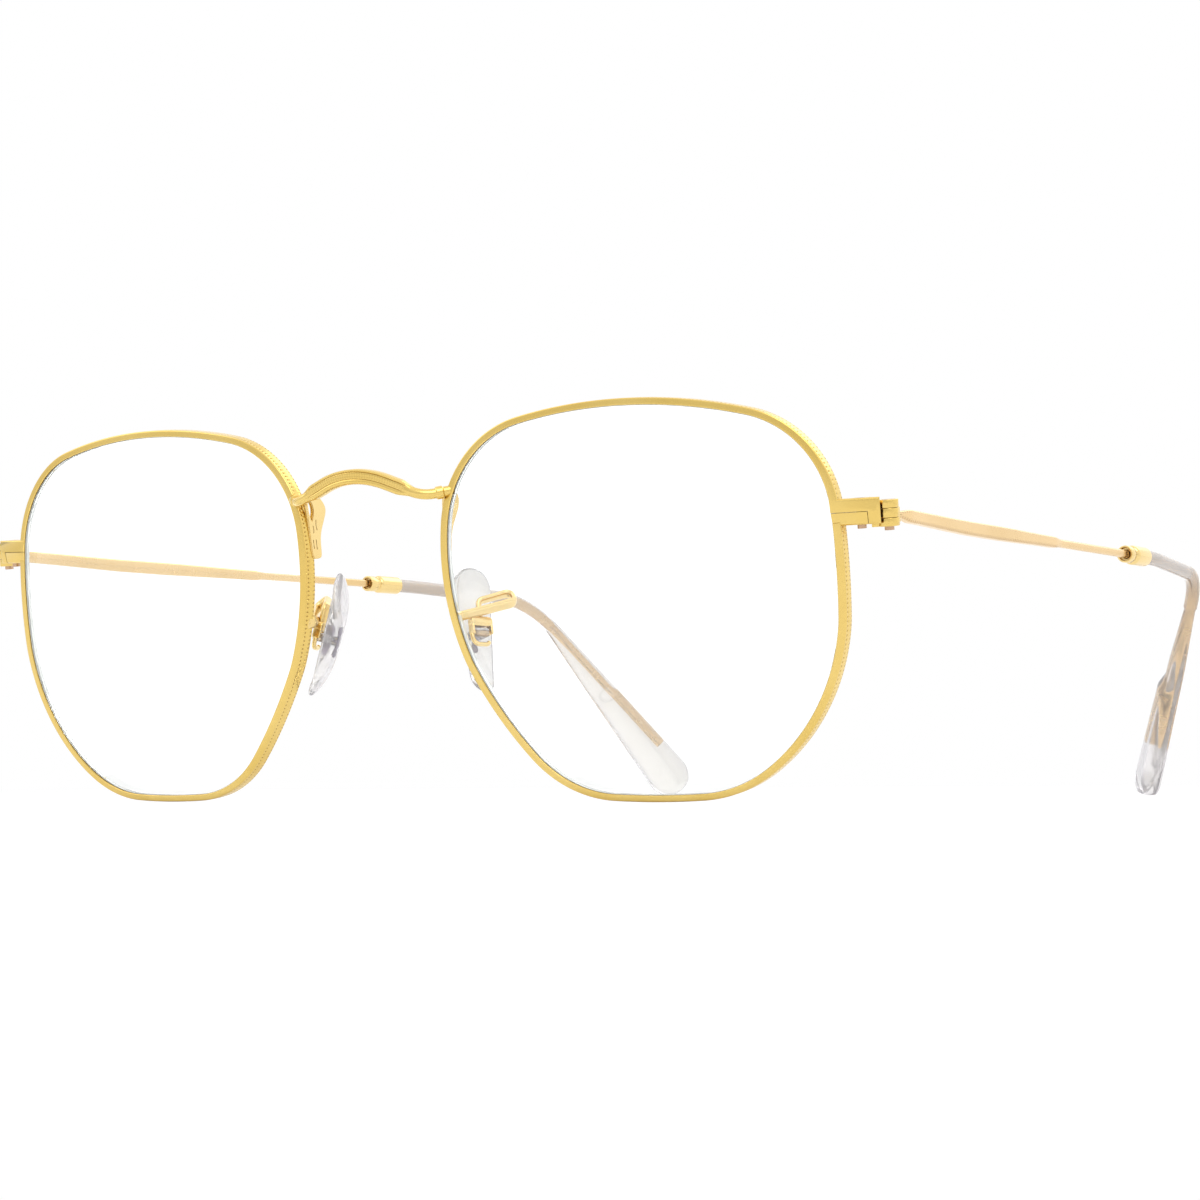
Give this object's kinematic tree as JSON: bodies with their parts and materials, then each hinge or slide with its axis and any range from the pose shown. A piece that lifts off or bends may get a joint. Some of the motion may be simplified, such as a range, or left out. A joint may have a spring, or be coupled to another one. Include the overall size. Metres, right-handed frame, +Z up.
{
  "type": "eyeglasses",
  "caption": "Hexagonal wire eyeglasses with clear lenses, arched bridge, rocking nose pads and folding temples with clear tips.",
  "frame": {"origin": "midpoint of the footprint on the surface the glasses stand on, under the two rims and two tips", "axes": "+Z up, -Y the way the wearer looks, +Y towards the ears, +X the wearer's left"},
  "size_m": [0.1346, 0.1364, 0.0466],
  "materials": {
    "rim_gold": "polished gold plate, milled edge",
    "front_gold": "polished gold plate",
    "temple_gold": "polished pale gold plate",
    "screw_metal": "turned metal",
    "lens_clear": "clear polished",
    "pad_clear": "clear soft plastic",
    "tip_clear": "clear plastic",
    "core_metal": "satin metal"
  },
  "bodies": {
    "front": {"rim_left": "rim_gold", "rim_right": "rim_gold", "lens_left": "lens_clear", "lens_right": "lens_clear", "end_piece_left": "front_gold", "end_piece_right": "front_gold", "closing_block_left": "front_gold", "closing_block_right": "front_gold", "rim_screw_left": "screw_metal", "rim_screw_right": "screw_metal", "front_hinge_left": "front_gold", "front_hinge_right": "front_gold", "hinge_screw_left": "screw_metal", "hinge_screw_right": "screw_metal", "bridge_foot_left": "front_gold", "bridge_foot_right": "front_gold", "pad_arm_left": "front_gold", "pad_arm_right": "front_gold", "bridge": "front_gold"},
    "temple_left": {"temple_hinge_left": "temple_gold", "temple_arm_left": "temple_gold", "ferrule_left": "temple_gold", "temple_tip_left": "tip_clear"},
    "temple_right": {"temple_hinge_right": "temple_gold", "temple_arm_right": "temple_gold", "ferrule_right": "temple_gold", "temple_tip_right": "tip_clear"},
    "pad_left": {"nose_pad_left": "pad_clear", "pad_core_left": "core_metal"},
    "pad_right": {"nose_pad_right": "pad_clear", "pad_core_right": "core_metal"}
  },
  "joints": [
    {"name": "temple_left_fold", "type": "hinge", "parent": "front", "child": "temple_left", "pos_m": [0.0661, -0.05551, 0.03242], "axis": [0, -0.1294, 0.9916], "range_deg": [0, 79]},
    {"name": "temple_right_fold", "type": "hinge", "parent": "front", "child": "temple_right", "pos_m": [-0.0661, -0.05551, 0.03242], "axis": [0, 0.1294, -0.9916], "range_deg": [0, 74]},
    {"name": "pad_left_rock", "type": "hinge", "parent": "front", "child": "pad_left", "pos_m": [0.01252, -0.05809, 0.02025], "axis": [0.3739, 0.9267, -0.039], "range_deg": [-5, 5]},
    {"name": "pad_right_rock", "type": "hinge", "parent": "front", "child": "pad_right", "pos_m": [-0.01252, -0.05809, 0.02025], "axis": [0.3739, -0.9267, 0.039], "range_deg": [-5, 5]}
  ]
}
